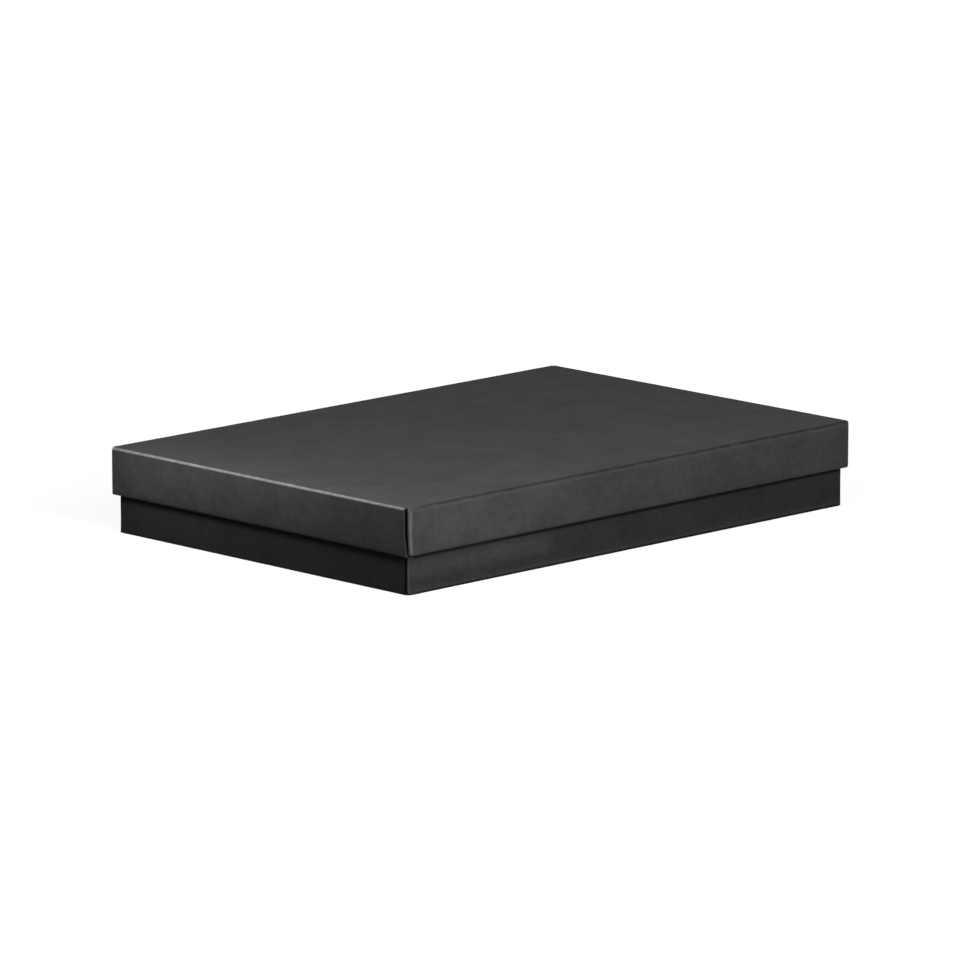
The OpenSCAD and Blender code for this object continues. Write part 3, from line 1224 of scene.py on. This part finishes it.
def seen_rays(tree: bpy.types.NodeTree) -> bpy.types.NodeSocket:
    """Picks out the rays that show the background to the eye: straight, mirrored or through glass.

    Args:
        tree: The node tree.

    Returns:
        A value of 1 for such a ray, and 0 for one that lights the object.
    """
    rays = add_node(tree, "LightPath").node.outputs
    straight = {0: rays["Is Camera Ray"], 1: rays["Is Glossy Ray"]}
    seen = add_node(tree, "Math", {"operation": "MAXIMUM"}, straight)
    return add_node(tree, "Math", {"operation": "MAXIMUM"}, {0: seen, 1: rays["Is Transmission Ray"]})


@dataclass(frozen=True)
class Softbox:
    """A rectangular diffused lamp that faces a point.

    Attributes:
        name: Name of the lamp.
        at: Its place in metres.
        towards: The point that it faces, in metres.
        size: Width and height in metres.
        watts: Its power.
        spread: Angle of its beam, in degrees.
    """

    name: str
    at: tuple[float, float, float]
    towards: tuple[float, float, float]
    size: tuple[float, float]
    watts: float
    spread: float = 180.0

    def hang(self) -> None:
        """Hangs the lamp, out of the camera's sight."""
        data = bpy.data.lights.new(self.name, "AREA")
        data.shape = "RECTANGLE"
        data.size, data.size_y = self.size
        data.energy = self.watts
        data.spread = math.radians(self.spread)
        lamp = bpy.data.objects.new(self.name, data)
        bpy.context.scene.collection.objects.link(lamp)
        aim = Vector(self.towards) - Vector(self.at)
        lamp.matrix_world = Matrix.Translation(self.at) @ aim.to_track_quat("-Z", "Y").to_matrix().to_4x4()
        lamp.visible_camera = False


@dataclass
class Studio:
    """Pale floor, soft lamps and the camera.

    Attributes:
        lamps: The lamps.
        floor_half: Half the floor's side, in metres.
        floor_drop: How far the floor lies below the box, in metres.
        sky: Strength of the even light from all round.
        azimuth: Direction of the camera, in degrees.
        elevation: Its height above the horizon, in degrees.
        distance: Its distance from the point that it looks at, in metres.
        lens: Focal length in millimetres.
        sensor: Width of the sensor in millimetres.
        look_at: A point on the box's axis, in metres.
        pan: How far the camera looks to the right of that point and above it, in metres.
    """

    lamps: list[Softbox]
    floor_half: float = 30.0
    floor_drop: float = 0.0001
    sky: float = 0.0
    azimuth: float = -44.4915
    elevation: float = 11.5798
    distance: float = 3.8316
    lens: float = 298.225
    sensor: float = 36.0
    look_at: tuple[float, float, float] = (0.0, 0.0, 0.02)
    pan: tuple[float, float] = (-0.0016377, -0.0009192)

    def build(self) -> None:
        """Lays the floor, hangs the lamps, lights the sky and sets up the camera."""
        self.lay_floor()
        for lamp in self.lamps:
            lamp.hang()
        self.light_sky()
        self.set_camera()

    def lay_floor(self) -> None:
        """Lays a floor: nearly even white to the eye, with a soft shadow, and dull grey to other light."""
        mesh = bpy.data.meshes.new("paper_floor")
        square = ((-1, -1), (1, -1), (1, 1), (-1, 1))
        corners = [(self.floor_half * x, self.floor_half * y, -self.floor_drop) for x, y in square]
        mesh.from_pydata(corners, [], [(0, 1, 2, 3)])
        floor = bpy.data.objects.new("paper_floor", mesh)
        bpy.context.scene.collection.objects.link(floor)
        # Uncoated white paper, lit from within near the box so that only a faint shadow shows on it.
        material = bpy.data.materials.new("white_background_paper")
        tree = fresh_tree(material)
        greys = ("#242424", "#8c8c8c")
        dull, paper = (add_node(tree, "BsdfDiffuse", {"Color": linear(code)}) for code in greys)
        place = add_node(tree, "TexCoord", out="Object")
        away = add_node(tree, "VectorMath", {"operation": "LENGTH"}, {0: place}, out="Value")
        level = add_node(tree, "MapRange", ramp(0.18, 0.5, 0.88, 1.0), {"Value": away})
        glow = add_node(tree, "Emission", {"Color": (1, 1, 1, 1)}, {"Strength": level})
        shown = add_node(tree, "AddShader", links={0: paper, 1: glow})
        mixed = add_node(tree, "MixShader", links={0: seen_rays(tree), 1: dull, 2: shown})
        add_node(tree, "OutputMaterial", links={"Surface": mixed})
        mesh.materials.append(material)

    def light_sky(self) -> None:
        """Sets an even sky that the camera sees as white."""
        world = bpy.data.worlds.new("studio")
        bpy.context.scene.world = world
        tree = fresh_tree(world)
        dim, white = (
            add_node(tree, "Background", {"Color": (1, 1, 1, 1), "Strength": s}) for s in (self.sky, 1.0)
        )
        mixed = add_node(tree, "MixShader", links={0: seen_rays(tree), 1: dim, 2: white})
        add_node(tree, "OutputWorld", links={"Surface": mixed})

    def set_camera(self) -> None:
        """Places the camera at the photographed angle."""
        turn, rise = math.radians(self.azimuth), math.radians(self.elevation)
        back = Vector((math.sin(turn) * math.cos(rise), -math.cos(turn) * math.cos(rise), math.sin(rise)))
        right = Vector((math.cos(turn), math.sin(turn), 0.0))
        up = back.cross(right)
        target = Vector(self.look_at) + right * self.pan[0] + up * self.pan[1]
        data = bpy.data.cameras.new("view")
        data.sensor_width = self.sensor
        data.lens = self.lens
        data.clip_start, data.clip_end = 0.1, 100.0
        camera = bpy.data.objects.new("view", data)
        facing = Matrix((right, up, back)).transposed().to_4x4()
        camera.matrix_world = Matrix.Translation(target + back * self.distance) @ facing
        bpy.context.scene.collection.objects.link(camera)
        bpy.context.scene.camera = camera
        bpy.context.scene.view_settings.view_transform = "Standard"


LAMPS = [
    Softbox("overhead", (0.0, 0.0, 1.3), (0.0, 0.0, 0.0), (1.0, 1.0), 2.2),
    Softbox("above_front_corner", (-0.25, -0.2, 0.3), (-0.12, -0.1, 0.04), (0.2, 0.2), 0.54),
    Softbox("front_far", (-0.2, -1.15, 0.62), (0.0, 0.0, 0.03), (0.5, 0.5), 9.2),
    Softbox("front_foot", (-0.12, -0.19, 0.03), (-0.12, -0.1, 0.012), (0.12, 0.02), 0.018),
    Softbox("front_under_lid", (-0.11, -0.142, 0.012), (-0.11, -0.1, 0.012), (0.11, 0.005), 0.0013, 20.0),
    Softbox("front_edge", (0.0, -0.127, 0.05), (0.0, -0.1, 0.035), (0.28, 0.01), 0.0046),
    Softbox("left_strip", (-0.185, 0.0, 0.075), (-0.15, 0.0, 0.035), (0.19, 0.02), 0.0262),
    Softbox("left_edge", (-0.175, 0.03, 0.05), (-0.15, 0.03, 0.035), (0.14, 0.01), 0.0066),
    Softbox("left_edge_back", (-0.175, 0.075, 0.05), (-0.15, 0.075, 0.035), (0.05, 0.01), 0.0095),
    Softbox("back_low", (0.15, 1.0, 0.04), (0.0, 0.0, 0.03), (0.6, 0.05), 4.6),
    Softbox("right_low", (1.05, 0.1, 0.04), (0.0, 0.0, 0.03), (0.5, 0.05), 4.2),
]


def main() -> None:
    """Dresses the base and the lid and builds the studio."""
    logging.basicConfig(level=logging.INFO, format="%(message)s")
    base = Tray.from_frame(
        "base",
        Board(crease_r=0.8, edge_setback=2.7),
        turned=False,
        seed=400,
        belly=0.08,
        shoulder=0.03,
        bow=0.12,
        sag=0.0,
        fold_r=2.0,
        fold_wear=0.2,
        worn_at=(206.0, 24.0),
        hidden_from=203.0,
    )
    lid = Tray.from_frame(
        "lid",
        Board(),
        turned=True,
        seed=900,
        belly=0.55,
        shoulder=0.06,
        bow=0.05,
        sag=0.22,
        fold_r=1.8,
        stand_off=0.85,
        lean=1.2,
    )
    # The base is the lid's board painted darker as painted shade under the lid, with cut edges painted nearly
    # black for the shade in its corner slits.
    base.dress(DyedBoard("base", colour="#333333", cloud="#333332", fibre="#4a4a4a", core="#0e0e0e"))
    lid.dress(DyedBoard("lid"))
    Studio(LAMPS).build()


if __name__ == "__main__":
    main()
